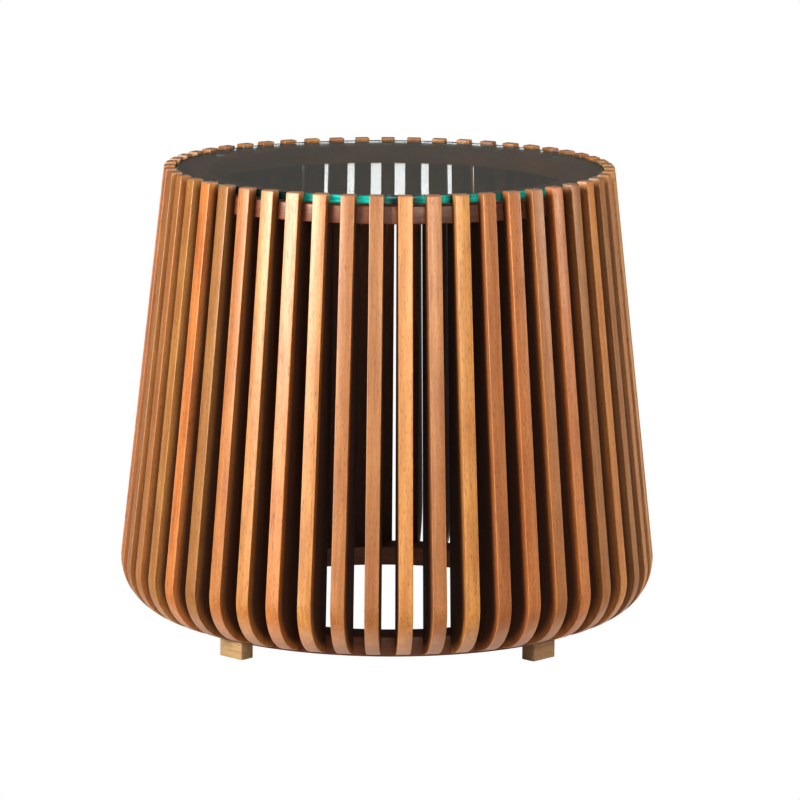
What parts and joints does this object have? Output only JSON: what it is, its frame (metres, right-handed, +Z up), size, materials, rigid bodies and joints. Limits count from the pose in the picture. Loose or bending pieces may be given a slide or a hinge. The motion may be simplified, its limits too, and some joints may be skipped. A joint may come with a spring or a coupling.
{
  "type": "side table",
  "caption": "Round side table: shaped wooden slats on edge, dowelled to two rings, block feet and an inset glass top that lifts off.",
  "frame": {"origin": "centre of the table on the floor", "axes": "+Z up along the table's axis; -Y is the side that faces the picture's camera"},
  "size_m": [0.5742, 0.5739, 0.5],
  "materials": {
    "slat_wood": "satin varnish",
    "ring_wood": "satin varnish",
    "foot_wood": "matt, unvarnished",
    "dowel_wood": "raw",
    "glass": "polished",
    "bumper": "clear soft plastic"
  },
  "bodies": {
    "frame": {"slat_01": "slat_wood", "slat_02": "slat_wood", "slat_03": "slat_wood", "slat_04": "slat_wood", "slat_05": "slat_wood", "slat_06": "slat_wood", "slat_07": "slat_wood", "slat_08": "slat_wood", "slat_09": "slat_wood", "slat_10": "slat_wood", "slat_11": "slat_wood", "slat_12": "slat_wood", "slat_13": "slat_wood", "slat_14": "slat_wood", "slat_15": "slat_wood", "slat_16": "slat_wood", "slat_17": "slat_wood", "slat_18": "slat_wood", "slat_19": "slat_wood", "slat_20": "slat_wood", "slat_21": "slat_wood", "slat_22": "slat_wood", "slat_23": "slat_wood", "slat_24": "slat_wood", "slat_25": "slat_wood", "slat_26": "slat_wood", "slat_27": "slat_wood", "slat_28": "slat_wood", "slat_29": "slat_wood", "slat_30": "slat_wood", "slat_31": "slat_wood", "slat_32": "slat_wood", "slat_33": "slat_wood", "slat_34": "slat_wood", "slat_35": "slat_wood", "slat_36": "slat_wood", "slat_37": "slat_wood", "slat_38": "slat_wood", "slat_39": "slat_wood", "slat_40": "slat_wood", "slat_41": "slat_wood", "slat_42": "slat_wood", "slat_43": "slat_wood", "slat_44": "slat_wood", "slat_45": "slat_wood", "slat_46": "slat_wood", "slat_47": "slat_wood", "slat_48": "slat_wood", "slat_49": "slat_wood", "slat_50": "slat_wood", "slat_51": "slat_wood", "top_ring": "ring_wood", "bottom_ring": "ring_wood", "glass_bumpers": "bumper", "dowels": "dowel_wood", "foot_front_left": "foot_wood", "foot_front_right": "foot_wood", "foot_back_left": "foot_wood", "foot_back_right": "foot_wood"},
    "glass": {"glass_top": "glass"}
  },
  "joints": [
    {"name": "glass_lift", "type": "slide", "parent": "frame", "child": "glass", "axis": [0, 0, 1], "range_m": [0, 0.06]}
  ]
}
